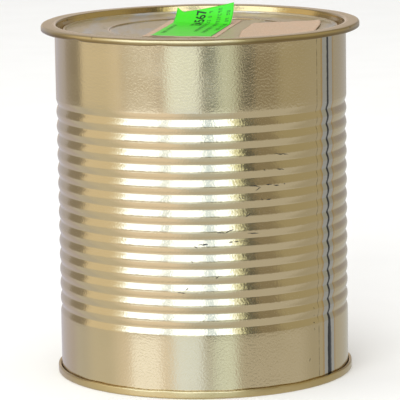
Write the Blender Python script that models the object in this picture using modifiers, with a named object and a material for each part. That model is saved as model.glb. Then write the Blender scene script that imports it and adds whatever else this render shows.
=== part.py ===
"""A three-piece tinplate can, 99 mm across, with its second end laid loose on top.

The can stands on its bottom double seam. +Z is up, the origin is the middle of
the base, and -Y is the front. All sizes are in metres.
"""

import math

import bpy
from mathutils import Vector

MM = 0.001

# Driving dimensions of the can
BODY_RADIUS = 49.55 * MM          # outside of the plain wall
BODY_HEIGHT = 118.65 * MM         # base to the top of the flange
PLATE = 0.2 * MM                  # thickness of every tinplate sheet
FLANGE_REACH = 2.75 * MM          # how far the top flange stands out from the wall
FLANGE_BEND = 2.4 * MM            # radius of the flange's bend, on its underside

# Rolled-in stiffening beads
BEAD_COUNT = 15
BEAD_PITCH = 4.946 * MM
BEAD_DEPTH = 0.6 * MM
LOWEST_VALLEY = 23.3 * MM         # height of the lowest groove's middle
SHOULDER = 0.30                   # where a groove's side meets the crown, in pitches

# Bottom double seam
SEAM_RADIUS = 50.8 * MM
SEAM_HEIGHT = 2.6 * MM
HOOK_GAP = 0.2 * MM               # clear space on each side of the end's hook
HOOK_REACH = 1.9 * MM             # height of the body hook's tip
CHUCK_CLEARANCE = 0.07 * MM       # between the body and the end's wall inside it

# Stamped ends, with every depth measured below the rim
CENTRE_RADIUS = 30.7 * MM         # edge of the sunk middle
CENTRE_DEPTH = 2.75 * MM
PANEL_RADIUS = 45.6 * MM          # outer edge of the panel round the middle
PANEL_DEPTH = 2.2 * MM
LIP_INNER = 45.9 * MM             # raised lip between the panel and the groove
LIP_OUTER = 46.7 * MM
LIP_DEPTH = 1.65 * MM
GROOVE_INNER = 47.0 * MM          # countersink groove
GROOVE_OUTER = 48.25 * MM
GROOVE_DEPTH = 4.2 * MM

# Loose lid
CURL_RADIUS = 54.2 * MM           # outside of the lid's curl
CURL_BEND = 1.05 * MM
CURL_HEIGHT = 2.1 * MM
CURL_TURN_IN = 1.05 * MM          # how far the curl's edge comes back under it
LID_HEIGHT = 120.05 * MM          # middle of the rim plane above the base
LID_TILT = math.atan(0.018)       # the lid sits askew, low at the front
LID_WALL_RADIUS = 48.95 * MM      # inside face of the lid's wall, near its top

# Sealing compound
LINING = 0.15 * MM                # thickness of both rubber rings
LINING_GAP = 0.03 * MM

# Paper on the lid
PAPER = 0.1 * MM
PAPER_GAP = 0.05 * MM
LABEL_TURN = math.radians(-11)
LABEL_CENTRE = (-1.02 * MM, 5.73 * MM)
KRAFT_MARGIN_LEFT = 3.6 * MM
KRAFT_MARGIN_RIGHT = 1.9 * MM
KRAFT_BACK = 20.0 * MM
STICKER_HALF_WIDTH = 10.4 * MM
STICKER_FRONT = -28.5 * MM        # from the label's centre, as are all places along it
STICKER_END = 15.7 * MM
STICKER_CREASE = 8.0 * MM         # where the middle of the sticker leaves the lid
CREASE_SKEW = 0.188               # the crease runs back to the left by this slope
FOLD = math.radians(17)           # sharp bend at the crease
LEAN_LEFT = math.radians(55)      # steepest that each side of the end gets
LEAN_RIGHT = math.radians(75)
BEND_LEFT = math.radians(5.2) / MM
BEND_RIGHT = math.radians(7.5) / MM
DRIFT = 0.16                      # the lifted end twists to the right as it rises

SEGMENTS = 48                     # facets round every turned piece


def clear_scene():
    for thing in list(bpy.data.objects):
        bpy.data.objects.remove(thing, do_unlink=True)
    for group in list(bpy.data.collections):
        bpy.data.collections.remove(group)


def new_collection(name):
    group = bpy.data.collections.new(name)
    bpy.context.scene.collection.children.link(group)
    return group


def make_material(name, colour, roughness, metallic):
    material = bpy.data.materials.new(name)
    material.use_nodes = True
    shader = material.node_tree.nodes["Principled BSDF"]
    shader.inputs["Base Color"].default_value = (*colour, 1.0)
    shader.inputs["Roughness"].default_value = roughness
    shader.inputs["Metallic"].default_value = metallic
    material.diffuse_color = (*colour, 1.0)
    return material


def arc(centre, radius, start, end, steps):
    """Points on an arc in the (radius, height) plane, angles in degrees."""
    points = []
    for step in range(steps + 1):
        angle = math.radians(start + (end - start) * step / steps)
        points.append((centre[0] + radius * math.cos(angle),
                       centre[1] + radius * math.sin(angle)))
    return points


def line_object(name, profile, closed):
    """A profile as loose edges in the XZ plane, ready to be turned."""
    mesh = bpy.data.meshes.new(name)
    count = len(profile)
    edges = [(i, i + 1) for i in range(count - 1)]
    if closed:
        edges.append((count - 1, 0))
    mesh.from_pydata([(r, 0.0, z) for r, z in profile], edges, [])
    return bpy.data.objects.new(name, mesh)


def turn(piece):
    """Turns a piece's profile once round its own Z axis."""
    screw = piece.modifiers.new("turned", "SCREW")
    screw.axis = "Z"
    screw.angle = 2 * math.pi
    screw.steps = SEGMENTS
    screw.render_steps = SEGMENTS
    screw.use_merge_vertices = True
    screw.merge_threshold = 0.000001
    screw.use_smooth_shade = True


def thicken(piece, thickness):
    """Gives an open surface its sheet thickness, behind the face it shows."""
    solid = piece.modifiers.new("sheet", "SOLIDIFY")
    solid.thickness = thickness
    solid.offset = -1.0
    solid.use_even_offset = True


def place(piece, material, group, parent=None):
    piece.data.materials.append(material)
    group.objects.link(piece)
    piece.parent = parent


def turned_sheet(name, profile, material, group, parent=None):
    piece = line_object(name, profile, closed=False)
    turn(piece)
    thicken(piece, PLATE)
    place(piece, material, group, parent)
    return piece


def turned_ring(name, inner, outer, bottom, top, material, group, parent=None):
    corners = [(outer, top), (outer, bottom), (inner, bottom), (inner, top)]
    piece = line_object(name, corners, closed=True)
    turn(piece)
    place(piece, material, group, parent)
    return piece


def body_profile():
    """Outer face of the body sheet, from the flange's tip to the body hook's tip."""
    underside = BODY_HEIGHT - PLATE
    bend = (BODY_RADIUS + FLANGE_BEND, underside - FLANGE_BEND)
    points = [(BODY_RADIUS + FLANGE_REACH, underside)]
    points += arc(bend, FLANGE_BEND, 90, 180, 4)

    for index in reversed(range(BEAD_COUNT)):
        valley = LOWEST_VALLEY + index * BEAD_PITCH
        points.append((BODY_RADIUS, valley + SHOULDER * BEAD_PITCH))
        points.append((BODY_RADIUS - BEAD_DEPTH, valley))
        points.append((BODY_RADIUS, valley - SHOULDER * BEAD_PITCH))

    hook_bend = (2 * HOOK_GAP + PLATE) / 2
    hook_centre = (BODY_RADIUS + hook_bend, PLATE + 2 * LINING_GAP + LINING + hook_bend + PLATE)
    points += arc(hook_centre, hook_bend, 180, 360, 4)
    points.append((BODY_RADIUS + 2 * hook_bend, HOOK_REACH))
    return points


def panel_profile(rim, up):
    """The stamped middle, from the centre to the countersink's outer edge.

    rim is the height of the rim's plane and up is the side that the rim faces.
    """
    return [
        (0.0, rim - up * CENTRE_DEPTH),
        (CENTRE_RADIUS, rim - up * CENTRE_DEPTH),
        (CENTRE_RADIUS + 0.5 * MM, rim - up * (PANEL_DEPTH + 0.2 * MM)),
        (CENTRE_RADIUS + 4.8 * MM, rim - up * PANEL_DEPTH),
        (PANEL_RADIUS, rim - up * PANEL_DEPTH),
        (LIP_INNER, rim - up * LIP_DEPTH),
        (LIP_OUTER, rim - up * LIP_DEPTH),
        (GROOVE_INNER, rim - up * (GROOVE_DEPTH - 0.2 * MM)),
        (GROOVE_INNER + 0.25 * MM, rim - up * GROOVE_DEPTH),
        (GROOVE_OUTER - 0.35 * MM, rim - up * GROOVE_DEPTH),
        (GROOVE_OUTER, rim - up * (GROOVE_DEPTH - 0.3 * MM)),
    ]


def bottom_end_profile():
    """Outer face of the bottom end, from its hook's tip to the middle of the panel."""
    wall = BODY_RADIUS - PLATE - CHUCK_CLEARANCE - PLATE
    hook = BODY_RADIUS + HOOK_GAP
    bend = (SEAM_RADIUS - hook) / 2
    top = (hook + bend, SEAM_HEIGHT - bend)
    corner = 0.4 * MM

    points = [(hook, 1.1 * MM)]
    points += arc(top, bend, 180, 0, 5)
    points += arc((SEAM_RADIUS - corner, corner), corner, 0, -90, 3)
    points += arc((wall + corner, corner), corner, -90, -180, 3)
    points.append((wall, 2.6 * MM))
    points += reversed(panel_profile(rim=0.0, up=-1))
    return points


def lid_profile():
    """Top face of the lid, from the middle of the panel to the end of the curl."""
    corner = 0.7 * MM
    curl = (CURL_RADIUS - CURL_BEND, -CURL_BEND)

    points = panel_profile(rim=0.0, up=1)
    points.append((LID_WALL_RADIUS, -1.2 * MM))
    points += arc((LID_WALL_RADIUS + corner, -corner), corner, 170, 90, 3)
    points += arc(curl, CURL_BEND, 90, 0, 4)
    points.append((CURL_RADIUS - 0.1 * MM, -CURL_HEIGHT + 0.45 * MM))
    points.append((CURL_RADIUS - 0.45 * MM, -CURL_HEIGHT))
    points.append((CURL_RADIUS - CURL_TURN_IN, -CURL_HEIGHT + 0.1 * MM))
    return points


def build_body(tinplate, group):
    return turned_sheet("can_body", body_profile(), tinplate, group)


def build_bottom_end(tinplate, group):
    return turned_sheet("bottom_end", bottom_end_profile(), tinplate, group)


def build_bottom_compound(rubber, group):
    bottom = PLATE + LINING_GAP
    return turned_ring("bottom_seam_compound", BODY_RADIUS - 0.05 * MM, SEAM_RADIUS - 0.45 * MM,
                       bottom, bottom + LINING, rubber, group)


def lid_seat():
    """The lid's own frame, on the lift's axis, with its rim plane at height 0."""
    seat = bpy.data.objects.new("lid_seat", None)
    seat.location = (0.0, 0.0, LID_HEIGHT)
    seat.rotation_euler = (LID_TILT, 0.0, 0.0)
    bpy.context.scene.collection.objects.link(seat)
    return seat


def build_lid(tinplate, group, seat):
    return turned_sheet("lid_end", lid_profile(), tinplate, group, seat)


def build_lid_compound(rubber, group, seat):
    top = -PLATE - LINING_GAP
    return turned_ring("lid_compound", LID_WALL_RADIUS + 1.1 * MM, CURL_RADIUS - 1.6 * MM,
                       top - LINING, top, rubber, group, seat)


def flat_paper(name, outline, height, material, group, seat):
    """A flat sheet cut to an outline, lying at a height in the lid's frame."""
    curve = bpy.data.curves.new(name, "CURVE")
    curve.dimensions = "2D"
    curve.fill_mode = "BOTH"
    curve.extrude = PAPER / 2
    spline = curve.splines.new("POLY")
    spline.points.add(len(outline) - 1)
    for point, (x, y) in zip(spline.points, outline):
        point.co = (x, y, 0.0, 1.0)
    spline.use_cyclic_u = True
    sheet = bpy.data.objects.new(name, curve)
    sheet.location = (0.0, 0.0, height + PAPER / 2)
    place(sheet, material, group, seat)
    return sheet


def on_label(across, along):
    """A point of the turned label, given in the label's own directions."""
    x = LABEL_CENTRE[0] + across * math.cos(LABEL_TURN) - along * math.sin(LABEL_TURN)
    y = LABEL_CENTRE[1] + across * math.sin(LABEL_TURN) + along * math.cos(LABEL_TURN)
    return x, y


def build_kraft_label(paper, group, seat):
    left = -STICKER_HALF_WIDTH - KRAFT_MARGIN_LEFT
    right = STICKER_HALF_WIDTH + KRAFT_MARGIN_RIGHT
    front = STICKER_FRONT - 0.4 * MM
    outline = [on_label(left, front + 3.0 * MM), on_label(left + 2.0 * MM, front),
               on_label(right - 3.0 * MM, front), on_label(right, front + 2.0 * MM),
               on_label(right, KRAFT_BACK), on_label(left, KRAFT_BACK)]
    height = -CENTRE_DEPTH + PAPER_GAP
    return flat_paper("kraft_label", outline, height, paper, group, seat)


def build_torn_label(paper, group, seat):
    outline = [(x * MM, y * MM) for x, y in (
        (12.8, -34.2), (13.4, -17.9), (14.1, -10.3), (15.5, -4.3), (16.7, 2.6), (18.3, 11.4),
        (22.5, 12.7), (26.7, 13.9), (29.8, 12.0), (33.0, 13.4), (41.4, 13.0), (41.3, 5.3),
        (40.7, -1.8), (38.7, -14.7), (28.0, -32.5))]
    height = -PANEL_DEPTH + PAPER_GAP
    return flat_paper("torn_kraft_label", outline, height, paper, group, seat)


def lifted(across, along):
    """Where a point of the flat sticker goes when its back end bends up: across, along, rise."""
    skew = math.atan(CREASE_SKEW)
    past = (along - STICKER_CREASE + CREASE_SKEW * across) * math.cos(skew)
    if past <= 0:
        return across, along, 0.0
    side = across / (2 * STICKER_HALF_WIDTH) + 0.5
    lean = LEAN_LEFT + (LEAN_RIGHT - LEAN_LEFT) * side
    rate = BEND_LEFT + (BEND_RIGHT - BEND_LEFT) * side ** 2
    angle = min(FOLD + past * rate, lean)
    straight = past - (angle - FOLD) / rate
    run = (math.sin(angle) - math.sin(FOLD)) / rate + straight * math.cos(angle)
    rise = (math.cos(FOLD) - math.cos(angle)) / rate + straight * math.sin(angle)
    back = run - past
    across += back * math.sin(skew) + DRIFT * rise
    return across, along + back * math.cos(skew), rise


def build_sticker(paper, group, seat):
    """A sheet stuck down over the kraft label, with its back end lifted."""
    bpy.ops.mesh.primitive_grid_add(x_subdivisions=6, y_subdivisions=26, size=1.0)
    sticker = bpy.context.object
    sticker.name = "price_sticker"
    sticker.data.name = "price_sticker"
    for owner in list(sticker.users_collection):
        owner.objects.unlink(sticker)
    flat_height = -CENTRE_DEPTH + 2 * PAPER_GAP + 2 * PAPER

    for vertex in sticker.data.vertices:
        along = STICKER_FRONT + (vertex.co.y + 0.5) * (STICKER_END - STICKER_FRONT)
        across, along, rise = lifted(vertex.co.x * 2 * STICKER_HALF_WIDTH, along)
        x, y = on_label(across, along)
        vertex.co = Vector((x, y, flat_height + rise))

    thicken(sticker, PAPER)
    place(sticker, paper, group, seat)
    return sticker


def build():
    clear_scene()
    group = new_collection("tinplate_can")
    tinplate = make_material("gold_lacquered_tinplate", (0.56, 0.47, 0.28), 0.28, 1.0)
    rubber = make_material("grey_sealing_compound", (0.32, 0.31, 0.28), 0.8, 0.0)
    kraft = make_material("kraft_paper", (0.60, 0.45, 0.33), 0.85, 0.0)
    green = make_material("green_label_paper", (0.13, 0.80, 0.05), 0.6, 0.0)

    build_body(tinplate, group)
    build_bottom_end(tinplate, group)
    build_bottom_compound(rubber, group)
    seat = lid_seat()
    build_lid(tinplate, group, seat)
    build_lid_compound(rubber, group, seat)
    build_kraft_label(kraft, group, seat)
    build_torn_label(kraft, group, seat)
    build_sticker(green, group, seat)


build()
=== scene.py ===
"""A gold-lacquered tinplate can with its second end laid loose on top.

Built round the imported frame: metres, +Z up, the can's axis on Z, its front at -Y.
"""

import math
import random

import bmesh
import bpy
from mathutils import Matrix, Vector


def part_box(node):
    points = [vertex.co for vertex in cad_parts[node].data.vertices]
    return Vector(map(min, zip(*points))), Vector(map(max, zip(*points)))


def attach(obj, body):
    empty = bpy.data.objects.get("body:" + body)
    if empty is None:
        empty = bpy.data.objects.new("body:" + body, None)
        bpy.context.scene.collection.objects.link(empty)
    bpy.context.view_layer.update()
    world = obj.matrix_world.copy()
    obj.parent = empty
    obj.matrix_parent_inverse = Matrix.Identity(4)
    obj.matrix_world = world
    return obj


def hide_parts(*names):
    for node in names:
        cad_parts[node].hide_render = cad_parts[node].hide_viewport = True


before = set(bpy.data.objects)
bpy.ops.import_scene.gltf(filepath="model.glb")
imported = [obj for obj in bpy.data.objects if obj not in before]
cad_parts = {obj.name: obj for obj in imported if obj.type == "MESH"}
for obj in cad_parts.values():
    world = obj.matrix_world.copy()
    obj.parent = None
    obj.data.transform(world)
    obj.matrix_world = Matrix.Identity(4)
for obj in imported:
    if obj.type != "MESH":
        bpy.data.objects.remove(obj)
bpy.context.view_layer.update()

# ---------------------------------------------------------------------------
# Can body
# One sheet of 0.2 mm tinplate, rolled round and resistance welded where its
# edges lap. Fifteen beads are rolled in between two plain bands, the top is
# flared into a flange and the bottom is hooked into the double seam.
# ---------------------------------------------------------------------------
MM = 0.001
PLATE = 0.2 * MM
BODY_RADIUS = 49.55 * MM
BODY_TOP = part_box("can_body")[1][2]
BEAD_COUNT = 15
BEAD_PITCH = 4.946 * MM
BEAD_DEPTH = 0.6 * MM
LOWEST_VALLEY = 23.3 * MM
VALLEY_ROUNDING = 0.14            # 0 would make each groove a sharp crease
FLANGE_BEND = 2.4 * MM
FLANGE_REACH = 2.75 * MM
HOOK_GAP = 0.2 * MM
HOOK_REACH = 1.9 * MM
HOOK_BOTTOM = 0.61 * MM           # outer face at the lowest point of the hook
WELD_DIRECTION = math.radians(-32)
WELD_LAP = 0.45 * MM              # half the width of the mashed lap
WELD_RISE = 0.09 * MM
ROUND_STEPS = 240


def wall_radius(height):
    """Outer radius of the body at a height, beads included."""
    turn = (height - LOWEST_VALLEY) / BEAD_PITCH
    if turn < -0.5 or turn > BEAD_COUNT - 0.5:
        return BODY_RADIUS
    swell = math.hypot(math.sin(math.pi * turn), VALLEY_ROUNDING) - VALLEY_ROUNDING
    crown = math.hypot(1.0, VALLEY_ROUNDING) - VALLEY_ROUNDING
    return BODY_RADIUS - BEAD_DEPTH * (1 - swell / crown)


def rounded(corners, steps=6):
    """A (radius, height) path through corners given as (radius, height, bend)."""
    path = []
    last = len(corners) - 1
    for index, (radius, height, bend) in enumerate(corners):
        here = Vector((radius, height))
        if bend == 0 or index in (0, last):
            path.append(here)
            continue
        before = Vector(corners[index - 1][:2]) - here
        after = Vector(corners[index + 1][:2]) - here
        half_turn = (math.pi - before.angle(after)) / 2
        reach = min(bend * math.tan(half_turn), before.length * 0.49, after.length * 0.49)
        start = here + before.normalized() * reach
        end = here + after.normalized() * reach
        for step in range(steps + 1):
            along = step / steps
            path.append(start * (1 - along) ** 2 + here * 2 * along * (1 - along) + end * along ** 2)
    return [(point.x, point.y) for point in path]


def placed(name, mesh, seat=None):
    """Turns a bmesh into an object of the scene, moved by seat if there is one."""
    data = bpy.data.meshes.new(name)
    mesh.to_mesh(data)
    mesh.free()
    if seat is not None:
        data.transform(seat)
    piece = bpy.data.objects.new(name, data)
    bpy.context.scene.collection.objects.link(piece)
    return piece


def turned(name, profile, angles=None, shape=None, closed=False, seat=None):
    """A mesh turned from a profile whose outer side runs down.

    UV is in metres: the distance round the body from the first angle, and height.
    shape(radius, height, angle) may dent the surface, seat places the whole mesh.
    """
    if angles is None:
        angles = [2 * math.pi * step / ROUND_STEPS for step in range(ROUND_STEPS)]
    mesh = bmesh.new()
    layer = mesh.loops.layers.uv.new("metres")
    rows = []
    for radius, height in profile:
        row = []
        if radius < 1e-6:
            row = [mesh.verts.new((0.0, 0.0, height))] * len(angles)
        else:
            for angle in angles:
                r, z = shape(radius, height, angle) if shape else (radius, height)
                row.append(mesh.verts.new((r * math.cos(angle), r * math.sin(angle), z)))
        rows.append(row)
    heights = [height for _, height in profile]
    if closed:
        rows.append(rows[0])
        heights.append(heights[0])
    spans = [(angle - angles[0]) * BODY_RADIUS for angle in angles] + [2 * math.pi * BODY_RADIUS]
    for upper, lower, high, low in zip(rows, rows[1:], heights, heights[1:]):
        for step in range(len(angles)):
            after = (step + 1) % len(angles)
            corners = [(upper[step], spans[step], high), (lower[step], spans[step], low),
                       (lower[after], spans[step + 1], low), (upper[after], spans[step + 1], high)]
            if upper[step] is upper[after]:
                corners.pop()
            if lower[step] is lower[after]:
                corners.pop(1)
            face = mesh.faces.new([corner[0] for corner in corners])
            face.smooth = True
            for loop, corner in zip(face.loops, corners):
                loop[layer].uv = corner[1:]
    return placed(name, mesh, seat)


def thicken(piece, thickness):
    sheet = piece.modifiers.new("sheet", "SOLIDIFY")
    sheet.thickness = thickness
    sheet.offset = -1.0
    sheet.use_even_offset = True


def body_profile():
    underside = BODY_TOP - PLATE
    path = rounded([(BODY_RADIUS + FLANGE_REACH, underside, 0),
                    (BODY_RADIUS, underside, FLANGE_BEND),
                    (BODY_RADIUS, underside - 6 * MM, 0)], steps=14)
    beads_top = LOWEST_VALLEY + (BEAD_COUNT - 0.5) * BEAD_PITCH
    beads_bottom = LOWEST_VALLEY - 0.5 * BEAD_PITCH
    plain_steps = 8
    for step in range(1, plain_steps):
        height = underside - 6 * MM + (beads_top - underside + 6 * MM) * step / plain_steps
        path.append((BODY_RADIUS, height))
    steps_per_bead = 16
    for step in range(BEAD_COUNT * steps_per_bead + 1):
        height = beads_top + (beads_bottom - beads_top) * step / (BEAD_COUNT * steps_per_bead)
        path.append((wall_radius(height), height))
    for step in range(1, plain_steps):
        path.append((BODY_RADIUS, beads_bottom * (1 - step / plain_steps) + 3 * MM * step / plain_steps))
    hook = 2 * HOOK_GAP + PLATE
    path += rounded([(BODY_RADIUS, 3 * MM, 0), (BODY_RADIUS, HOOK_BOTTOM, hook / 2),
                     (BODY_RADIUS + hook, HOOK_BOTTOM, hook / 2), (BODY_RADIUS + hook, HOOK_REACH, 0)])
    return path


def body_shape(radius, height, angle):
    """Slight out-of-round of a rolled sheet, and the ridge of the mashed weld."""
    wave = 0.03 * MM * math.sin(3 * angle + 1.3) + 0.012 * MM * math.sin(8 * angle + 60 * height)
    if height > BODY_TOP - 4 * MM or height < 4 * MM:
        wave = 0.0
    off_weld = abs(math.remainder(angle - WELD_DIRECTION, 2 * math.pi)) * BODY_RADIUS
    ridge = WELD_RISE * max(0.0, 1 - (off_weld / (2 * WELD_LAP)) ** 2)
    if height < 4 * MM or height > BODY_TOP - 1 * MM:
        ridge = 0.0
    return radius + wave + ridge, height


def weld_angles():
    """Even steps round the can, with close steps across the weld."""
    near = [distance * MM / BODY_RADIUS for distance in (0.0, 0.25, 0.45, 0.7, 0.95, 1.2)]
    even = [2 * math.pi * step / ROUND_STEPS for step in range(2, ROUND_STEPS - 1)]
    offsets = near + even + [2 * math.pi - offset for offset in reversed(near[1:])]
    return [WELD_DIRECTION + offset for offset in offsets]


def linear(colour):
    """An sRGB hex colour, such as "#cbb58c", as linear RGBA."""
    parts = [int(colour[start:start + 2], 16) / 255 for start in (1, 3, 5)]
    return [part / 12.92 if part <= 0.04045 else ((part + 0.055) / 1.055) ** 2.4 for part in parts] + [1.0]


def add_node(tree, kind, inputs=None, **settings):
    """Adds a shader node. inputs maps a socket's name or number to a value or to a socket to link."""
    node = tree.nodes.new("ShaderNode" + kind)
    for name, value in settings.items():
        setattr(node, name, value)
    for socket, value in (inputs or {}).items():
        if isinstance(value, bpy.types.NodeSocket):
            tree.links.new(value, node.inputs[socket])
        else:
            node.inputs[socket].default_value = value
    return node


def mottled(tree, where, size, dark, light, detail=2.0):
    """A colour drifting between two shades over patches of a size: the pattern, then the colour."""
    pattern = add_node(tree, "TexNoise", {"Vector": where, "Scale": 1 / size, "Detail": detail})
    tone = add_node(tree, "Mix", {0: pattern.outputs["Fac"], 6: linear(dark), 7: linear(light)},
                    data_type="RGBA")
    return pattern.outputs["Fac"], tone.outputs[2]


def started(name):
    """A new material, with its node tree and its shader."""
    material = bpy.data.materials.new(name)
    material.use_nodes = True
    return material, material.node_tree, material.node_tree.nodes["Principled BSDF"]


def lacquered_tinplate(name, weld):
    """Tinplate under a clear gold lacquer, baked on in the flat sheet.

    The tin's brightness shows through the tinted coat, so highlights stay pale
    while what they fade into is gold. The rolled steel underneath leaves a fine
    grain. The sheet is bare beside the weld, where lacquer would spoil the joint.
    """
    material, tree, shader = started(name)
    shader.inputs["Metallic"].default_value = 1.0
    shader.inputs["Coat Weight"].default_value = 0.55
    shader.inputs["Coat Roughness"].default_value = 0.12
    shader.inputs["Coat IOR"].default_value = 1.5
    place = add_node(tree, "TexCoord")
    where = place.outputs["UV" if weld else "Object"]

    # lacquer thickness drifts over 30 mm or so
    colour = mottled(tree, where, 30 * MM, "#c9b68b", "#d0bc94")[1]
    # grain of the rolled steel, drawn at 0.75 mm so that it shows
    grain = add_node(tree, "TexNoise", {"Vector": where, "Scale": 1 / (0.75 * MM), "Detail": 2.0})
    cloud = add_node(tree, "TexNoise", {"Vector": where, "Scale": 1 / (14 * MM), "Detail": 3.0})
    rough = add_node(tree, "MapRange", {"Value": cloud.outputs["Fac"], "From Min": 0.35, "From Max": 0.7,
                                        "To Min": 0.11, "To Max": 0.18})
    roughness = rough.outputs["Result"]
    bump = add_node(tree, "Bump", {"Height": grain.outputs["Fac"], "Strength": 0.6,
                                   "Distance": 0.065 * MM})

    if weld:
        colour, roughness = weld_stripe(tree, where, colour, roughness)
    else:
        colour, roughness = handled_end(tree, place, colour)
    tree.links.new(colour, shader.inputs["Base Color"])
    tree.links.new(roughness, shader.inputs["Roughness"])
    tree.links.new(bump.outputs["Normal"], shader.inputs["Normal"])
    return material


def weld_stripe(tree, where, colour, roughness):
    """Bare tin beside the weld, amber lacquer edges, and the weld's blue-black scale."""
    bare_half = 3.3 * MM
    scale_half = 0.6 * MM
    score_off = 6.4 * MM
    split = add_node(tree, "SeparateXYZ", {0: where})
    jitter = add_node(tree, "TexNoise", {"Vector": where, "Scale": 1 / (1.5 * MM), "Detail": 3.0})
    shake = add_node(tree, "Math", {0: jitter.outputs["Fac"], 1: 0.5 * MM, 2: -0.25 * MM},
                     operation="MULTIPLY_ADD")
    off = add_node(tree, "Math", {0: split.outputs["X"], 1: math.pi * BODY_RADIUS}, operation="PINGPONG")
    shaken = add_node(tree, "Math", {0: off.outputs[0], 1: shake.outputs[0]}, operation="ADD")

    amber = add_node(tree, "MapRange", {"Value": shaken.outputs[0], "From Min": bare_half + 1.6 * MM,
                                        "From Max": bare_half}, interpolation_type="SMOOTHSTEP")
    toned = add_node(tree, "Mix", {0: amber.outputs[0], 6: colour, 7: linear("#c2a066")},
                     data_type="RGBA")
    bare = add_node(tree, "MapRange", {"Value": shaken.outputs[0], "From Min": bare_half + 0.15 * MM,
                                       "From Max": bare_half - 0.15 * MM},
                    interpolation_type="SMOOTHSTEP")
    tin = add_node(tree, "Mix", {0: bare.outputs[0], 6: toned.outputs[2], 7: linear("#bbb8b2")},
                   data_type="RGBA")

    # the scale widens where the electrode left the sheet at the bottom
    foot = add_node(tree, "MapRange", {"Value": split.outputs["Y"], "From Min": 24 * MM,
                                       "From Max": 16 * MM, "To Min": scale_half,
                                       "To Max": 2.0 * scale_half})
    inner = add_node(tree, "Math", {0: foot.outputs[0], 1: shaken.outputs[0]}, operation="SUBTRACT")
    scale = add_node(tree, "MapRange", {"Value": inner.outputs[0], "From Min": -0.15 * MM,
                                        "From Max": 0.15 * MM}, interpolation_type="SMOOTHSTEP")
    burnt = add_node(tree, "Mix", {0: scale.outputs[0], 6: tin.outputs[2], 7: linear("#1f1f24")},
                     data_type="RGBA")

    # a fine score that the sheet's guide left beside the weld
    score_place = 2 * math.pi * BODY_RADIUS - score_off
    to_score = add_node(tree, "Math", {0: split.outputs["X"], 1: score_place, 2: 0.16 * MM},
                        operation="COMPARE")
    worn = add_node(tree, "TexNoise", {"Vector": where, "Scale": 1 / (2.5 * MM), "Detail": 2.0})
    broken = add_node(tree, "MapRange", {"Value": worn.outputs["Fac"], "From Min": 0.35, "From Max": 0.6,
                                         "To Max": 0.75})
    faint = add_node(tree, "Math", {0: to_score.outputs[0], 1: broken.outputs[0]}, operation="MULTIPLY")
    scored = add_node(tree, "Mix", {0: faint.outputs[0], 6: burnt.outputs[2], 7: linear("#6b5c3e")},
                      data_type="RGBA")
    matt = add_node(tree, "Mix", {0: scale.outputs[0], 2: roughness, 3: 0.42}, data_type="FLOAT")
    return scored.outputs[2], matt.outputs[0]


body = turned("can_body_sheet", body_profile(), angles=weld_angles(), shape=body_shape)
thicken(body, PLATE)
body.data.materials.append(lacquered_tinplate("gold_lacquered_tinplate_welded", weld=True))
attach(body, "can")
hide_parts("can_body")

# ---------------------------------------------------------------------------
# Scuffs
# Short dark marks where the lacquer was rubbed through in handling, lying in
# the surface at the front right of the beads.
# ---------------------------------------------------------------------------
SCUFF_WIDTH = 0.4 * MM
SCUFFS = [                        # degrees round from the front, height, run in mm, slope in degrees
    (31.7, 80.2, 5.5, -5), (31.1, 75.0, 2.9, -9), (24.2, 75.1, 0.9, -22), (26.1, 70.3, 2.1, 1),
    (29.3, 70.0, 2.1, -3), (32.9, 70.0, 0.7, 6), (20.4, 70.1, 4.0, -8), (21.6, 69.2, 2.1, 36),
    (23.1, 65.6, 0.9, -30), (25.9, 65.4, 1.8, 8), (14.2, 66.4, 0.7, -42), (15.3, 66.5, 0.7, -38),
    (17.3, 60.6, 2.1, 32), (6.6, 55.3, 2.7, -6), (9.9, 55.8, 3.3, 25), (19.3, 54.7, 3.8, 0),
    (-2.9, 50.6, 1.3, -25), (-0.2, 51.4, 3.4, 4), (0.6, 51.6, 1.6, 8), (10.5, 52.1, 1.4, 9),
    (12.8, 52.3, 1.6, 7), (3.4, 40.9, 0.6, -59), (4.9, 40.5, 0.9, 28), (5.6, 40.8, 0.5, 48),
    (-8.6, 35.6, 2.7, -4), (-6.5, 36.7, 1.4, 39), (-4.4, 46.0, 0.9, -42), (47.7, 26.6, 0.5, -51),
    (47.7, 21.7, 0.6, -30), (48.2, 24.1, 0.4, -65), (47.9, 19.6, 0.7, -56), (45.0, 9.2, 1.0, 60)]


def scuff_marks():
    chance = random.Random(7)
    mesh = bmesh.new()
    for direction, height, run, slope in SCUFFS:
        middle = math.radians(direction - 90)
        steps = max(3, int(run / 0.3))
        edges = []
        wander = 0.0
        for step in range(steps + 1):
            along = (step / steps - 0.5) * run * MM
            wander += chance.uniform(-0.09, 0.09) * MM
            taper = math.sin(math.pi * (0.08 + 0.84 * step / steps))
            width = SCUFF_WIDTH * taper * chance.uniform(0.5, 1.2)
            pair = []
            for side in (-0.5, 0.5):
                z = height * MM + along * math.sin(math.radians(slope)) + wander + side * width
                angle = middle + along * math.cos(math.radians(slope)) / BODY_RADIUS
                r, z = body_shape(wall_radius(z), z, angle)
                r += 0.03 * MM
                pair.append(mesh.verts.new((r * math.cos(angle), r * math.sin(angle), z)))
            edges.append(pair)
        for (a, b), (c, d) in zip(edges, edges[1:]):
            mesh.faces.new((a, c, d, b)).smooth = True
    return placed("scuff_marks", mesh)


def rubbed_steel():
    """Grey steel and grime where the lacquer is gone: dull, with uneven darkness."""
    material, tree, shader = started("rubbed_steel")
    shader.inputs["Metallic"].default_value = 0.3
    shader.inputs["Roughness"].default_value = 0.5
    place = add_node(tree, "TexCoord")
    grime, tone = mottled(tree, place.outputs["Object"], 0.7 * MM, "#17130e", "#4d4433")
    tree.links.new(tone, shader.inputs["Base Color"])
    return material


scuffs = scuff_marks()
scuffs.data.materials.append(rubbed_steel())
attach(scuffs, "can")

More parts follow.
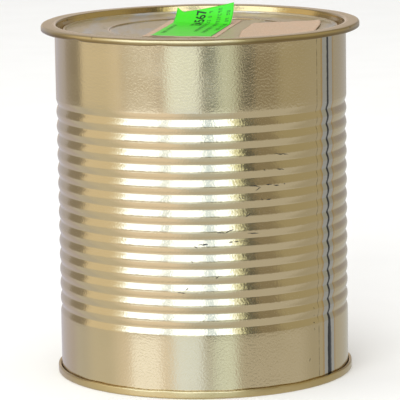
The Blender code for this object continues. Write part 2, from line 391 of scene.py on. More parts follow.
# ---------------------------------------------------------------------------
# Bottom end
# A stamped tinplate disc. Its edge is rolled together with the body's hook
# into the double seam that the can stands on; inside that, a countersink and
# two steps stiffen the panel.
# ---------------------------------------------------------------------------
SEAM_RADIUS = 50.8 * MM
SEAM_HEIGHT = 2.6 * MM
CHUCK_CLEARANCE = 0.07 * MM
CENTRE_RADIUS = 30.7 * MM         # of the sunk middle
CENTRE_DEPTH = 2.75 * MM
PANEL_RADIUS = 45.6 * MM
PANEL_DEPTH = 2.2 * MM
LIP_INNER = 45.9 * MM
LIP_OUTER = 46.7 * MM
LIP_DEPTH = 1.65 * MM
GROOVE_INNER = 47.0 * MM
GROOVE_OUTER = 48.15 * MM
GROOVE_DEPTH = 4.2 * MM


def panel_corners(up):
    """The stamped middle, from its centre to the countersink, below a rim at height 0."""
    corners = [(0.0, CENTRE_DEPTH, 0),
               (CENTRE_RADIUS, CENTRE_DEPTH, 0.3 * MM),
               (CENTRE_RADIUS + 0.3 * MM, PANEL_DEPTH + 0.15 * MM, 0.3 * MM),
               (CENTRE_RADIUS + 4.8 * MM, PANEL_DEPTH, 9 * MM),
               (PANEL_RADIUS, PANEL_DEPTH, 0.4 * MM),
               (LIP_INNER, LIP_DEPTH, 0.3 * MM),
               (LIP_OUTER, LIP_DEPTH, 0.25 * MM),
               (GROOVE_INNER, GROOVE_DEPTH, 0.4 * MM),
               (GROOVE_OUTER, GROOVE_DEPTH, 0.5 * MM)]
    return [(radius, -up * depth, bend) for radius, depth, bend in corners]


def bottom_end_profile():
    wall = BODY_RADIUS - PLATE - CHUCK_CLEARANCE - PLATE
    hook = BODY_RADIUS + HOOK_GAP
    corners = [(hook, 1.1 * MM, 0), (hook, SEAM_HEIGHT, 0.52 * MM),
               (SEAM_RADIUS, SEAM_HEIGHT, 0.55 * MM), (SEAM_RADIUS, 0.0, 0.7 * MM),
               (wall, 0.0, 0.5 * MM), (wall - 0.1 * MM, 2.4 * MM, 1.0 * MM)]
    corners += reversed(panel_corners(up=-1))
    return rounded(corners)


def seam_shape(radius, height, angle):
    """The seaming roll leaves its edge very slightly uneven, and thicker at the weld."""
    if radius < BODY_RADIUS:
        return radius, height
    off_weld = abs(math.remainder(angle - WELD_DIRECTION, 2 * math.pi)) * BODY_RADIUS
    lump = 0.12 * MM * math.exp(-(off_weld / (2.5 * MM)) ** 2)
    ripple = 0.025 * MM * math.sin(23 * angle) + 0.02 * MM * math.sin(11 * angle + 2)
    lift = height / SEAM_HEIGHT
    return min(radius + ripple * lift, SEAM_RADIUS), height + (lump + 2 * ripple) * lift ** 2


def handled_end(tree, place, colour):
    """An end's middle is hazed, smeared and specked by handling; its rim is duller, and shade is painted
    onto the lower face of its curl.
    """
    groove_middle = 48.05 * MM
    groove_half = 1.15 * MM
    rim_start = 49.6 * MM
    curl_start = 52.5 * MM
    flat = add_node(tree, "VectorMath", {0: place.outputs["Object"], 1: (1.0, 1.0, 0.0)},
                    operation="MULTIPLY")
    radius = add_node(tree, "VectorMath", {0: flat.outputs[0]}, operation="LENGTH").outputs["Value"]
    middle = add_node(tree, "MapRange", {"Value": radius, "From Min": LIP_OUTER + 0.2 * MM,
                                         "From Max": PANEL_RADIUS + 0.1 * MM})
    smear = add_node(tree, "Mapping", {"Vector": place.outputs["Object"], "Scale": (1.0, 0.25, 1.0),
                                       "Rotation": (0.0, 0.0, 0.5)})
    streak = add_node(tree, "TexNoise", {"Vector": smear.outputs[0], "Scale": 1 / (2.2 * MM),
                                         "Detail": 4.0})
    haze = add_node(tree, "MapRange", {"Value": streak.outputs["Fac"], "From Min": 0.3, "From Max": 0.7,
                                       "To Min": 0.5, "To Max": 0.66})
    rim = add_node(tree, "MapRange", {"Value": radius, "From Min": rim_start - 0.1 * MM,
                                      "From Max": rim_start + 0.9 * MM, "To Min": 0.15, "To Max": 0.32})
    dulled = add_node(tree, "Mix", {0: middle.outputs[0], 2: rim.outputs[0], 3: haze.outputs[0]},
                      data_type="FLOAT")

    # the edge of the sunk middle is rubbed brighter than what lies round it
    edge = add_node(tree, "Math", {0: radius, 1: CENTRE_RADIUS + 0.2 * MM, 2: 0.7 * MM},
                    operation="COMPARE")
    rubbed = add_node(tree, "Mix", {0: edge.outputs[0], 2: dulled.outputs[0], 3: 0.16}, data_type="FLOAT")
    # painted shade: a darker gold in the groove and up the wall beside it, as the recess lies in shade
    groove = add_node(tree, "Math", {0: radius, 1: groove_middle, 2: groove_half}, operation="COMPARE")
    groove_painted_shade = add_node(tree, "Mix", {0: groove.outputs[0], 6: colour, 7: linear("#bda267")},
                      data_type="RGBA")
    # the lacquer looks deeper round the rim, where the sheet was rolled over
    rolled = add_node(tree, "MapRange", {"Value": radius, "From Min": rim_start,
                                         "From Max": rim_start + 0.8 * MM})
    golden = add_node(tree, "Mix", {0: rolled.outputs[0], 6: groove_painted_shade.outputs[2], 7: linear("#c6ae77")},
                      data_type="RGBA")

    # grey where dust and glue have dried on, over about 9 mm
    dust = add_node(tree, "TexNoise", {"Vector": smear.outputs[0], "Scale": 1 / (9 * MM), "Detail": 3.0})
    grey = add_node(tree, "MapRange", {"Value": dust.outputs["Fac"], "From Min": 0.5, "From Max": 0.66,
                                       "To Max": 0.65})
    patch = add_node(tree, "Math", {0: grey.outputs[0], 1: middle.outputs[0]}, operation="MULTIPLY")
    dusty = add_node(tree, "Mix", {0: patch.outputs[0], 6: golden.outputs[2], 7: linear("#c6c8ca")},
                     data_type="RGBA")
    dirt = add_node(tree, "TexNoise", {"Vector": place.outputs["Object"], "Scale": 1 / (1.6 * MM)})
    speck = add_node(tree, "MapRange", {"Value": dirt.outputs["Fac"], "From Min": 0.68, "From Max": 0.76,
                                        "To Max": 0.7})
    specked = add_node(tree, "Mix", {0: speck.outputs[0], 6: dusty.outputs[2], 7: linear("#5d5138")},
                       data_type="RGBA")

    # painted shade: the outer face of the curl is darkened towards a dark gold from 0.55 mm below its top
    # downwards
    # the UV's second value is the height in the end's own frame
    height = add_node(tree, "SeparateXYZ", {0: place.outputs["UV"]}).outputs["Y"]
    low = add_node(tree, "MapRange", {"Value": height, "From Min": -0.55 * MM, "From Max": -1.3 * MM,
                                      "To Max": 0.8})
    outer = add_node(tree, "Math", {0: radius, 1: curl_start}, operation="GREATER_THAN")
    under = add_node(tree, "Math", {0: low.outputs[0], 1: outer.outputs[0]}, operation="MULTIPLY")
    curl_painted_shade = add_node(tree, "Mix", {0: under.outputs[0], 6: specked.outputs[2], 7: linear("#6f5628")},
                      data_type="RGBA")
    return curl_painted_shade.outputs[2], rubbed.outputs[0]


bottom_end = turned("bottom_end_stamping", bottom_end_profile(), shape=seam_shape)
thicken(bottom_end, PLATE)
end_tinplate = lacquered_tinplate("gold_lacquered_tinplate_stamped", weld=False)
bottom_end.data.materials.append(end_tinplate)
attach(bottom_end, "can")
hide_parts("bottom_end")

# ---------------------------------------------------------------------------
# Lining compound
# Rubber flowed into each end as a liquid and dried: one ring is crushed inside
# the bottom seam, the other waits under the loose end's rim.
# ---------------------------------------------------------------------------
LID_HEIGHT = 120.05 * MM
LID_TILT = math.atan(0.018)
LID_SEAT = Matrix.Translation((0.0, 0.0, LID_HEIGHT)) @ Matrix.Rotation(LID_TILT, 4, "X")
LID_WALL_RADIUS = 48.95 * MM
CURL_RADIUS = 54.19 * MM
LINING = 0.15 * MM
LINING_GAP = 0.03 * MM


def flowed_rubber():
    """Dried sealing rubber: matt grey, with the orange-peel skin of a poured liquid."""
    material, tree, shader = started("flowed_sealing_rubber")
    shader.inputs["Roughness"].default_value = 0.7
    shader.inputs["Specular IOR Level"].default_value = 0.35
    place = add_node(tree, "TexCoord")
    skin, tone = mottled(tree, place.outputs["Object"], 0.9 * MM, "#8b8880", "#a19d92")
    bump = add_node(tree, "Bump", {"Height": skin, "Strength": 0.4, "Distance": 0.03 * MM})
    tree.links.new(tone, shader.inputs["Base Color"])
    tree.links.new(bump.outputs["Normal"], shader.inputs["Normal"])
    return material


def lining_ring(name, node, body_name, inner, outer, top, seat):
    bottom = top - LINING
    edge = 0.07 * MM
    section = [(outer, bottom + edge), (outer - edge, bottom), (inner + edge, bottom),
               (inner, bottom + edge), (inner, top - edge), (inner + edge, top),
               (outer - edge, top), (outer, top - edge)]
    ring = turned(name, section, closed=True, seat=seat)
    ring.data.materials.append(rubber)
    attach(ring, body_name)
    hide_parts(node)


rubber = flowed_rubber()
lining_ring("bottom_seam_lining", "bottom_seam_compound", "can", BODY_RADIUS - 0.05 * MM,
            SEAM_RADIUS - 0.45 * MM, PLATE + LINING_GAP + LINING, None)
lining_ring("lid_lining", "lid_compound", "lid", LID_WALL_RADIUS + 1.1 * MM,
            CURL_RADIUS - 1.6 * MM, -PLATE - LINING_GAP, LID_SEAT)

# ---------------------------------------------------------------------------
# Lid
# The same stamping as the bottom end, not yet seamed: its edge is still the
# open curl that the seaming rolls would close. It lies loose and a little
# askew on the flange, low at the front.
# ---------------------------------------------------------------------------
CURL_HEIGHT = 2.1 * MM
CURL_TURN_IN = 1.05 * MM
NICKS = [(-49.5, 0.5), (-14.0, 0.3)]      # where the curl's edge is bent up: degrees from the front, mm


def lid_profile():
    corners = panel_corners(up=1)
    corners += [(LID_WALL_RADIUS, -1.2 * MM, 0.8 * MM), (LID_WALL_RADIUS + 0.15 * MM, 0.0, 0.75 * MM),
                (CURL_RADIUS, 0.0, 1.1 * MM), (CURL_RADIUS, -CURL_HEIGHT, 0.6 * MM),
                (CURL_RADIUS - CURL_TURN_IN, -CURL_HEIGHT + 0.15 * MM, 0)]
    return rounded(corners, steps=8)


def lid_shape(radius, height, angle):
    """Handling dents: the curl is wavy, and bent up in two places at the front."""
    if radius < LID_WALL_RADIUS + 1 * MM:
        return radius, height
    outward = (radius - LID_WALL_RADIUS) / (CURL_RADIUS - LID_WALL_RADIUS)
    height += 0.05 * MM * outward * math.sin(5 * angle + 0.7) + 0.03 * MM * outward * math.sin(17 * angle)
    if height < -1.5 * MM:
        for direction, rise in NICKS:
            off = math.degrees(math.remainder(angle - math.radians(direction - 90), 2 * math.pi))
            height += rise * MM * math.exp(-(off / 2.4) ** 2)
    return radius, height


def panel_height(radius):
    """Height of the lid's top face at a radius, in the lid's own frame."""
    path = lid_profile()
    for (r0, z0), (r1, z1) in zip(path, path[1:]):
        if r0 <= radius <= r1 and r1 > r0:
            return z0 + (z1 - z0) * (radius - r0) / (r1 - r0)
    return 0.0


lid = turned("lid_stamping", lid_profile(), shape=lid_shape, seat=LID_SEAT)
thicken(lid, PLATE)
lid.data.materials.append(end_tinplate)
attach(lid, "lid")
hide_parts("lid_end")

# ---------------------------------------------------------------------------
# Kraft labels
# Two pieces of brown kraft paper, 0.1 mm thick, glued to the lid: a whole one
# that the green sticker covers, and what is left of another after tearing.
# ---------------------------------------------------------------------------
PAPER = 0.1 * MM
PAPER_GAP = 0.05 * MM
LABEL_TURN = math.radians(-11)
LABEL_CENTRE = (-1.02 * MM, 5.73 * MM)
KRAFT_LEFT = -13.2 * MM
KRAFT_RIGHT = 12.3 * MM
KRAFT_FRONT = -28.9 * MM
KRAFT_BACK = 20.0 * MM


def on_label(across, along):
    """A point in the lid's frame from the turned label's own directions."""
    x = LABEL_CENTRE[0] + across * math.cos(LABEL_TURN) - along * math.sin(LABEL_TURN)
    y = LABEL_CENTRE[1] + across * math.sin(LABEL_TURN) + along * math.cos(LABEL_TURN)
    return x, y


def edge_line(points, steps, roughness, chance):
    """Even points along a polyline, shaken sideways by up to a roughness."""
    points = [Vector(point) * MM for point in points]
    lengths = [(b - a).length for a, b in zip(points, points[1:])]
    line = []
    for step in range(steps + 1):
        left = sum(lengths) * step / steps
        index = 0
        while index < len(lengths) - 1 and left > lengths[index]:
            left -= lengths[index]
            index += 1
        point = points[index].lerp(points[index + 1], min(1.0, left / lengths[index]))
        if 0 < step < steps:
            point += Vector((chance.uniform(-1, 1), chance.uniform(-1, 1))) * roughness
        line.append(point)
    return line


def laid_sheet(name, grid, thickness):
    """A sheet on the lid from rows of (place, uv), front row first."""
    mesh = bmesh.new()
    layer = mesh.loops.layers.uv.new("metres")
    rows = [[(mesh.verts.new(place), uv) for place, uv in row] for row in grid]
    for near, far in zip(rows, rows[1:]):
        for column in range(len(near) - 1):
            corners = [near[column], near[column + 1], far[column + 1], far[column]]
            face = mesh.faces.new([vertex for vertex, _ in corners])
            face.smooth = True
            for loop, (_, uv) in zip(face.loops, corners):
                loop[layer].uv = uv
    sheet = placed(name, mesh, LID_SEAT)
    thicken(sheet, thickness)
    return sheet


def paper_patch(name, left, right, front, back, height, thickness):
    """A sheet stretched between four edge lines, laid on height(x, y)."""
    rows = len(left) - 1
    columns = len(front) - 1
    grid = []
    for row in range(rows + 1):
        t = row / rows
        line = []
        for column in range(columns + 1):
            s = column / columns
            sides = left[row].lerp(right[row], s)
            ends = front[column].lerp(back[column], t)
            flat = front[0].lerp(front[-1], s).lerp(back[0].lerp(back[-1], s), t)
            point = sides + ends - flat
            line.append(((point.x, point.y, height(point.x, point.y)), point))
        grid.append(line)
    return laid_sheet(name, grid, thickness)


def kraft_paper():
    """Unbleached kraft: matt, pinkish brown, flecked with darker and paler fibres."""
    material, tree, shader = started("kraft_paper")
    shader.inputs["Roughness"].default_value = 0.8
    shader.inputs["Specular IOR Level"].default_value = 0.3
    place = add_node(tree, "TexCoord")
    stretch = add_node(tree, "Mapping", {"Vector": place.outputs["UV"], "Scale": (1.0, 0.25, 1.0)})
    pulp = add_node(tree, "TexNoise", {"Vector": place.outputs["UV"], "Scale": 1 / (4 * MM),
                                       "Detail": 4.0})
    fibre, tone = mottled(tree, stretch.outputs[0], 0.5 * MM, "#a2896f", "#c9b198", detail=3.0)
    stain = add_node(tree, "MapRange", {"Value": pulp.outputs["Fac"], "From Min": 0.4, "From Max": 0.75,
                                        "To Max": 0.45})
    aged = add_node(tree, "Mix", {0: stain.outputs[0], 6: tone, 7: linear("#c3a083")}, data_type="RGBA")
    bump = add_node(tree, "Bump", {"Height": fibre, "Strength": 0.5, "Distance": 0.05 * MM})
    tree.links.new(aged.outputs[2], shader.inputs["Base Color"])
    tree.links.new(bump.outputs["Normal"], shader.inputs["Normal"])
    return material


def kraft_height(x, y):
    """The glued sheet lies on the panel, with the slight waves that damp left in it."""
    return panel_height(math.hypot(x, y)) + PAPER_GAP + PAPER + 0.03 * MM * math.sin(900 * x + 400 * y)


def torn_height(x, y):
    """Bridges the edge of the sunk middle, and lifts a little at its right end."""
    lift = max(0.0, (x - 36 * MM) / (5 * MM))
    bridged = max(kraft_height(x, y), -PANEL_DEPTH - 0.1 * MM)
    return bridged + 0.4 * MM * lift ** 1.5


def kraft_sheet():
    chance = random.Random(3)

    def side(points, steps, roughness):
        return edge_line([tuple(value / MM for value in on_label(*point)) for point in points],
                         steps, roughness, chance)

    front_left = (KRAFT_LEFT, KRAFT_FRONT + 0.6 * MM)
    front_right = (KRAFT_RIGHT, KRAFT_FRONT)
    back_left = (KRAFT_LEFT, KRAFT_BACK)
    back_right = (KRAFT_RIGHT, KRAFT_BACK)
    waist = 0.3 * MM
    return paper_patch("kraft_label_sheet",
                       side([front_left, (KRAFT_LEFT + waist, 0), back_left], 60, 0.08 * MM),
                       side([front_right, (KRAFT_RIGHT - waist, 0), back_right], 60, 0.08 * MM),
                       side([front_left, front_right], 36, 0.05 * MM),
                       side([back_left, back_right], 36, 0.05 * MM),
                       kraft_height, PAPER)


def torn_sheet():
    chance = random.Random(11)
    left = [(12.8, -34.2), (13.4, -17.9), (14.1, -10.3), (15.5, -4.3), (16.7, 2.6), (18.3, 11.4)]
    right = [(28.0, -32.5), (38.7, -14.7), (40.7, -1.8), (41.3, 5.3), (41.4, 13.0)]
    back = [(18.3, 11.4), (22.5, 12.7), (26.7, 13.9), (29.8, 12.0), (33.0, 13.4), (41.4, 13.0)]
    return paper_patch("torn_kraft_sheet",
                       edge_line(left, 70, 0.28 * MM, chance), edge_line(right, 70, 0.06 * MM, chance),
                       edge_line([left[0], right[0]], 34, 0.2 * MM, chance),
                       edge_line(back, 34, 0.18 * MM, chance), torn_height, PAPER)


kraft = kraft_paper()
for sheet, node in ((kraft_sheet(), "kraft_label"), (torn_sheet(), "torn_kraft_label")):
    sheet.data.materials.append(kraft)
    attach(sheet, "lid")
    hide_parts(node)

# ---------------------------------------------------------------------------
# Dried glue
# A smear of label glue, 0.02 mm thick, left on the lid between the two papers
# where the rest of the torn one came away.
# ---------------------------------------------------------------------------
GLUE = 0.02 * MM


def dried_glue():
    """Old label glue: yellowed, dirty, half dull, clearer where it is thin."""
    material, tree, shader = started("dried_label_glue")
    shader.inputs["Specular IOR Level"].default_value = 0.4
    place = add_node(tree, "TexCoord")
    grime, tone = mottled(tree, place.outputs["UV"], 2 * MM, "#85795c", "#b5a688", detail=4.0)
    gloss = add_node(tree, "MapRange", {"Value": grime, "From Min": 0.3, "From Max": 0.7, "To Min": 0.35,
                                        "To Max": 0.6})
    tree.links.new(tone, shader.inputs["Base Color"])
    tree.links.new(gloss.outputs[0], shader.inputs["Roughness"])
    return material


def glue_height(x, y):
    return panel_height(math.hypot(x, y)) + GLUE


def glue_film():
    chance = random.Random(23)
    left = [(4.6, -26.4), (9.3, -2.5), (11.8, 10.0), (14.0, 22.4)]
    right = [(12.9, -31.0), (14.6, -10.3), (16.0, -4.3), (17.2, 2.6), (18.8, 11.6), (24.8, 25.5)]
    return paper_patch("dried_glue_film",
                       edge_line(left, 40, 0.05 * MM, chance), edge_line(right, 40, 0.12 * MM, chance),
                       edge_line([left[0], right[0]], 8, 0.05 * MM, chance),
                       edge_line([left[-1], (20.7, 25.4), right[-1]], 8, 0.1 * MM, chance),
                       glue_height, GLUE)


glue = glue_film()
glue.data.materials.append(dried_glue())
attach(glue, "lid")

# ---------------------------------------------------------------------------
# Price sticker
# A strip of fluorescent green label paper over the kraft label. Its back end
# has come unstuck and stands up. It is printed in black: a row of digits and
# small print, which is only dashes here.
# ---------------------------------------------------------------------------
STICKER_HALF_WIDTH = 10.4 * MM
STICKER_FRONT = -28.5 * MM
STICKER_END = 15.65 * MM
STICKER_CREASE = 8.0 * MM
CREASE_SKEW = 0.188
FOLD = math.radians(17)
LEAN_LEFT = math.radians(55)
LEAN_RIGHT = math.radians(75)
BEND_LEFT = math.radians(5.2) / MM
BEND_RIGHT = math.radians(7.5) / MM
DRIFT = 0.16


def sticker_point(across, along, above=0.0):
    """A point of the sticker's top face, in the lid's frame, or a little above it."""
    base = kraft_height(*on_label(across, min(along, STICKER_CREASE))) + PAPER_GAP + PAPER
    side = across / (2 * STICKER_HALF_WIDTH) + 0.5
    corner = max(0.0, 1 - (along - STICKER_FRONT) / (8 * MM)) * max(0.0, 1 - side / 0.5)
    base += 0.35 * MM * corner ** 1.5
    skew = math.atan(CREASE_SKEW)
    past = (along - STICKER_CREASE + CREASE_SKEW * across) * math.cos(skew)
    if past <= 0:
        x, y = on_label(across, along)
        return Vector((x, y, base + above))
    lean = LEAN_LEFT + (LEAN_RIGHT - LEAN_LEFT) * side
    rate = BEND_LEFT + (BEND_RIGHT - BEND_LEFT) * side ** 2
    angle = min(FOLD + past * rate, lean)
    straight = past - (angle - FOLD) / rate
    run = (math.sin(angle) - math.sin(FOLD)) / rate + straight * math.cos(angle)
    rise = (math.cos(FOLD) - math.cos(angle)) / rate + straight * math.sin(angle)
    back = run - past - above * math.sin(angle)
    x, y = on_label(across + back * math.sin(skew) + DRIFT * rise, along + back * math.cos(skew))
    return Vector((x, y, base + rise + above * math.cos(angle)))


def sticker_sheet():
    across_steps = 30
    along_steps = 90
    grid = []
    for row in range(along_steps + 1):
        line = []
        for column in range(across_steps + 1):
            side = column / across_steps
            across = (2 * side - 1) * STICKER_HALF_WIDTH
            end = STICKER_END + 2.3 * MM * max(0.0, 1 - side / 0.12)
            along = STICKER_FRONT + (end - STICKER_FRONT) * row / along_steps
            line.append((sticker_point(across, along), (across, along)))
        grid.append(line)
    sheet = laid_sheet("price_sticker_sheet", grid, PAPER)
    sheet.modifiers["sheet"].material_offset = 1
    sheet.modifiers["sheet"].material_offset_rim = 1
    return sheet


def fluorescent_paper():
    """Day-glow green label paper: a brighter green than plain ink gives, with a soft sheen."""
    material, tree, shader = started("fluorescent_green_paper")
    shader.inputs["Roughness"].default_value = 0.36
    shader.inputs["Specular IOR Level"].default_value = 0.5
    place = add_node(tree, "TexCoord")
    pulp, tone = mottled(tree, place.outputs["UV"], 1.2 * MM, "#2fc608", "#3dd00f", detail=4.0)
    # painted shadow: a dark olive line along the right-hand edge of the flat part
    across = add_node(tree, "SeparateXYZ", {0: place.outputs["UV"]})
    edge = add_node(tree, "MapRange", {"Value": across.outputs["X"], "To Max": 0.75,
                                       "From Min": STICKER_HALF_WIDTH - 0.45 * MM,
                                       "From Max": STICKER_HALF_WIDTH - 0.15 * MM})
    flat = add_node(tree, "MapRange", {"Value": across.outputs["Y"], "From Min": 7 * MM,
                                       "From Max": 5 * MM})
    edge_shadow_mask = add_node(tree, "Math", {0: edge.outputs[0], 1: flat.outputs[0]}, operation="MULTIPLY")
    edge_painted_shadow = add_node(tree, "Mix", {0: edge_shadow_mask.outputs[0], 6: tone, 7: linear("#35401c")}, data_type="RGBA")
    bump = add_node(tree, "Bump", {"Height": pulp, "Strength": 0.3, "Distance": 0.05 * MM})
    tree.links.new(edge_painted_shadow.outputs[2], shader.inputs["Base Color"])
    tree.links.new(bump.outputs["Normal"], shader.inputs["Normal"])
    return material


def label_back():
    """The sticker's unprinted side: white paper with a little grime and dried glue."""
    material, tree, shader = started("white_label_back")
    shader.inputs["Roughness"].default_value = 0.7
    place = add_node(tree, "TexCoord")
    tone = mottled(tree, place.outputs["UV"], 2.5 * MM, "#b9b3a4", "#dedacc", detail=3.0)[1]
    tree.links.new(tone, shader.inputs["Base Color"])
    return material


def printing_ink(name, dark, light):
    """Thermal print: dull, and patchy where the head pressed lightly."""
    material, tree, shader = started(name)
    shader.inputs["Roughness"].default_value = 0.6
    place = add_node(tree, "TexCoord")
    tone = mottled(tree, place.outputs["Object"], 0.8 * MM, dark, light)[1]
    tree.links.new(tone, shader.inputs["Base Color"])
    return material


def printed(name, mesh, ink):
    """Wraps flat artwork, drawn as (along, -across), onto the sticker as a film of ink."""
    for vertex in mesh.verts:
        vertex.co = sticker_point(-vertex.co.y, vertex.co.x, above=0.03 * MM)
    film = placed(name, mesh, LID_SEAT)
    film.data.materials.append(ink)
    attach(film, "lid")


def digit_artwork(text, start, length, baseline, cap_height):
    """Digits as a flat mesh, stretched to a length and cut fine enough to bend."""
    curve = bpy.data.curves.new("digits", "FONT")
    curve.body = text
    curve.offset = 0.02
    holder = bpy.data.objects.new("digits", curve)
    bpy.context.scene.collection.objects.link(holder)
    bpy.context.view_layer.update()
    flat = bpy.data.meshes.new_from_object(holder.evaluated_get(bpy.context.evaluated_depsgraph_get()))
    bpy.data.objects.remove(holder)
    mesh = bmesh.new()
    mesh.from_mesh(flat)
    bpy.data.meshes.remove(flat)
    wide = max(vertex.co.x for vertex in mesh.verts)
    high = max(vertex.co.y for vertex in mesh.verts)
    for vertex in mesh.verts:
        vertex.co = (start + vertex.co.x * length / wide, baseline + vertex.co.y * cap_height / high, 0.0)
    cuts = round(length / (0.4 * MM))
    for cut in range(1, cuts):
        everything = mesh.verts[:] + mesh.edges[:] + mesh.faces[:]
        bmesh.ops.bisect_plane(mesh, geom=everything, plane_co=(start + length * cut / cuts, 0, 0),
                               plane_no=(1, 0, 0))
    return mesh


def small_print_artwork():
    """Rows of letter-like strokes along the sticker. They spell nothing."""
    chance = random.Random(5)
    mesh = bmesh.new()
    tall = 1.3 * MM
    wide = 0.75 * MM
    thin = 0.28 * MM
    strokes = [(0, 0, thin, tall), (wide - thin, 0, wide, tall), (0, tall - thin, wide, tall),
               (0, 0, wide, thin), (0, tall / 2, wide, tall / 2 + thin)]
    for across, start, end in ((-7.4, -20, 3), (2.9, -16, 14.2), (6.2, -19, 14.6), (9.3, -12, 13.5)):
        along = start * MM
        while along < end * MM:
            for x0, y0, x1, y1 in chance.sample(strokes, 3):
                corners = [(x0, y0), (x1, y0), (x1, y1), (x0, y1)]
                mesh.faces.new([mesh.verts.new((along + x, y - across * MM, 0.0)) for x, y in corners])
            along += wide + chance.choice((0.35, 0.35, 0.4, 1.3)) * MM
    return mesh


sticker = sticker_sheet()
sticker.data.materials.append(fluorescent_paper())
sticker.data.materials.append(label_back())
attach(sticker, "lid")
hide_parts("price_sticker")
printed("printed_digits", digit_artwork("1234567", 0.5 * MM, 14.8 * MM, -0.5 * MM, 3.5 * MM),
        printing_ink("thermal_black", "#061606", "#0f260d"))
printed("small_print", small_print_artwork(), printing_ink("thermal_grey", "#23701c", "#358a2a"))

# ---------------------------------------------------------------------------
# Studio
# A pale floor, one large soft box at the front left, and the dim room round
# it. The floor is left out of reflections: the room's lower half stands for it.
# ---------------------------------------------------------------------------
def pale_floor():
    bpy.ops.mesh.primitive_grid_add(x_subdivisions=8, y_subdivisions=8, size=8.0)
    floor = bpy.context.object
    floor.name = "floor"
    floor.visible_glossy = False
    material, tree, shader = started("pale_card")
    shader.inputs["Roughness"].default_value = 0.9
    shader.inputs["Specular IOR Level"].default_value = 0.1
    place = add_node(tree, "TexCoord")
    tone = mottled(tree, place.outputs["Object"], 40 * MM, "#f2f2f0", "#f7f7f5")[1]
    tree.links.new(tone, shader.inputs["Base Color"])
    floor.data.materials.append(material)


# What stands round the can, painted one over the other: azimuth from the front
# towards +X, elevation, half spans, softness (all degrees), colour, brightness.
ROOM = [
    ("back wall", 180, 26, 36, 36, 6, "#f8ecd9", 0.46),
    ("back wall, low", 180, 3, 34, 10, 7, "#fbeadc", 0.74),
    ("back wall, left", -148, 26, 16, 36, 4, "#eceaf4", 0.66),
    ("back wall, right", 148, 26, 22, 36, 6, "#efebee", 0.46),
    ("dark door, right", 140, 36, 24, 24, 6, "#ffedc8", 0.30),
    ("right wall", 92, 26, 34, 36, 8, "#fff9dd", 0.52),
    ("right corner", 49, 26, 13, 36, 4, "#fff5df", 0.36),
    ("dark stand", 36.5, 26, 5.5, 36, 1.5, "#fafffa", 0.16),
    ("door, left", -122, 26, 11.5, 36, 1.5, "#fff6ea", 0.36),
    ("left wall", -87, 26, 22, 36, 4, "#fff7e6", 0.98),
    ("floor", 0, -55, 180, 46, 2, "#fbfdff", 0.70),
    ("floor, back left", -150, -30, 24, 22, 6, "#ebe6f0", 0.72),
    ("floor, left", -85, -28, 20, 20, 8, "#fdfdf8", 0.80),
    ("floor, right", 132, -30, 44, 24, 10, "#fdfcf4", 0.54),
    ("floor before the box", -2, -26, 26, 18, 10, "#e6f1ff", 0.92),
    ("floor under the box", -44, -28, 28, 20, 12, "#fffafc", 1.16),
    ("glow, left", -47, -14, 13, 4.8, 3, "#e5edff", 1.85),
    ("glow, middle", -13, -14, 12, 4.8, 4, "#cde0ff", 1.85),
    ("glow, right", 16, -14, 9.5, 4.8, 4, "#def2ff", 1.42),
    ("box stand, left", -50, -4, 15, 4, 2.5, "#fffefb", 0.78),
    ("box stand, middle", -14, -4, 14, 4, 3, "#dcefff", 1.75),
    ("box stand, gap", 7.5, -4, 6.5, 4.5, 2, "#e1f7ff", 0.34),
    ("box stand, right", 21, -4, 8, 4, 2, "#eafffc", 0.86),
    ("soft box", -20.5, 34, 47.5, 34, 1.5, "#c8dbff", 3.9),
    ("soft box, far side", -71, 34, 4, 34, 2, "#fbfeff", 1.3),
    ("soft box, rib", 5.5, 34, 4, 34, 1.5, "#b8d3ff", 1.9),
    ("soft box, seam", -30, 34, 3, 34, 1.5, "#c8dbff", 1.6),
    ("soft box, near side", 28, 34, 4, 34, 1.5, "#f4ffe8", 1.3)]


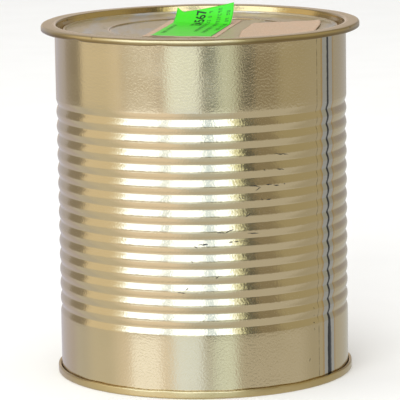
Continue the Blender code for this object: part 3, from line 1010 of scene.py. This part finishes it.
def studio_world():
    world = bpy.data.worlds.new("studio_room")
    bpy.context.scene.world = world
    world.use_nodes = True
    world.cycles.sampling_method = "NONE"
    tree = world.node_tree
    background = tree.nodes["Background"]
    place = add_node(tree, "TexCoord")
    split = add_node(tree, "SeparateXYZ", {0: place.outputs["Generated"]})
    forward = add_node(tree, "Math", {0: split.outputs["Y"], 1: -1.0}, operation="MULTIPLY")
    bearing = add_node(tree, "Math", {0: split.outputs["X"], 1: forward.outputs[0]}, operation="ARCTAN2")
    azimuth = add_node(tree, "Math", {0: bearing.outputs[0]}, operation="DEGREES")
    rise = add_node(tree, "Math", {0: split.outputs["Z"]}, operation="ARCSINE")
    elevation = add_node(tree, "Math", {0: rise.outputs[0]}, operation="DEGREES")
    colour = [0.34, 0.32, 0.29, 1.0]
    for name, bearing_at, rise_at, half_wide, half_tall, soft, hue, bright in ROOM:
        aside = add_node(tree, "Math", {0: azimuth.outputs[0], 1: bearing_at}, operation="SUBTRACT")
        round_off = add_node(tree, "Math", {0: aside.outputs[0], 1: 180.0}, operation="PINGPONG")
        above = add_node(tree, "Math", {0: elevation.outputs[0], 1: rise_at}, operation="SUBTRACT")
        height_off = add_node(tree, "Math", {0: above.outputs[0]}, operation="ABSOLUTE")
        masks = []
        for distance, half in ((round_off, half_wide), (height_off, half_tall)):
            masks.append(add_node(tree, "MapRange", {"Value": distance.outputs[0], "From Min": half + soft,
                                                     "From Max": half - soft},
                                  interpolation_type="SMOOTHSTEP"))
        mask = add_node(tree, "Math", {0: masks[0].outputs[0], 1: masks[1].outputs[0]},
                        operation="MULTIPLY")
        shade = [channel * bright for channel in linear(hue)[:3]] + [1.0]
        layer = add_node(tree, "Mix", {0: mask.outputs[0], 6: colour, 7: shade}, data_type="RGBA",
                         label=name)
        colour = layer.outputs[2]
    tree.links.new(colour, background.inputs["Color"])
    # rays scattered by paper and floor see an even white tent instead
    ray = add_node(tree, "LightPath")
    tent = add_node(tree, "Background", {"Color": linear("#fdfcfb"), "Strength": 0.92})
    lit = add_node(tree, "MixShader", {0: ray.outputs["Is Diffuse Ray"], 1: background.outputs[0],
                                       2: tent.outputs[0]})
    paper = add_node(tree, "Background", {"Color": linear("#fdfdfc"), "Strength": 1.0})
    seen = add_node(tree, "MixShader", {0: ray.outputs["Is Camera Ray"], 1: lit.outputs[0],
                                        2: paper.outputs[0]})
    tree.links.new(seen.outputs[0], tree.nodes["World Output"].inputs["Surface"])


def soft_light(name, location, size, watts):
    data = bpy.data.lights.new(name, "AREA")
    data.shape = "SQUARE"
    data.size = size
    data.energy = watts
    light = bpy.data.objects.new(name, data)
    light.location = location
    light.rotation_euler = (-Vector(location)).to_track_quat("-Z", "Y").to_euler()
    light.visible_glossy = False
    light.visible_camera = False
    bpy.context.scene.collection.objects.link(light)


pale_floor()
studio_world()
soft_light("overhead", (-0.3, 0.2, 1.6), 1.4, 6)
soft_light("front_left", (-0.5, -1.4, 0.6), 0.9, 15)

# ---------------------------------------------------------------------------
# Camera
# A long lens a little under a metre from the can, looking slightly down.
# ---------------------------------------------------------------------------
CAMERA_PLACE = (0.0, -938.8 * MM, 210.2 * MM)
CAMERA_PITCH = 0.1604
CAMERA_YAW = -0.001
CAMERA_ROLL = -0.0156
CAMERA_LENS = 248.9               # on a 36 mm sensor

lens = bpy.data.cameras.new("camera")
lens.lens = CAMERA_LENS
lens.sensor_width = 36.0
lens.clip_start = 0.05
lens.clip_end = 30.0
camera = bpy.data.objects.new("camera", lens)
camera.matrix_world = (Matrix.Translation(CAMERA_PLACE) @ Matrix.Rotation(-CAMERA_YAW, 4, "Z")
                       @ Matrix.Rotation(math.pi / 2 - CAMERA_PITCH, 4, "X")
                       @ Matrix.Rotation(CAMERA_ROLL, 4, "Z"))
bpy.context.scene.collection.objects.link(camera)
bpy.context.scene.camera = camera
bpy.context.scene.view_settings.view_transform = "Standard"
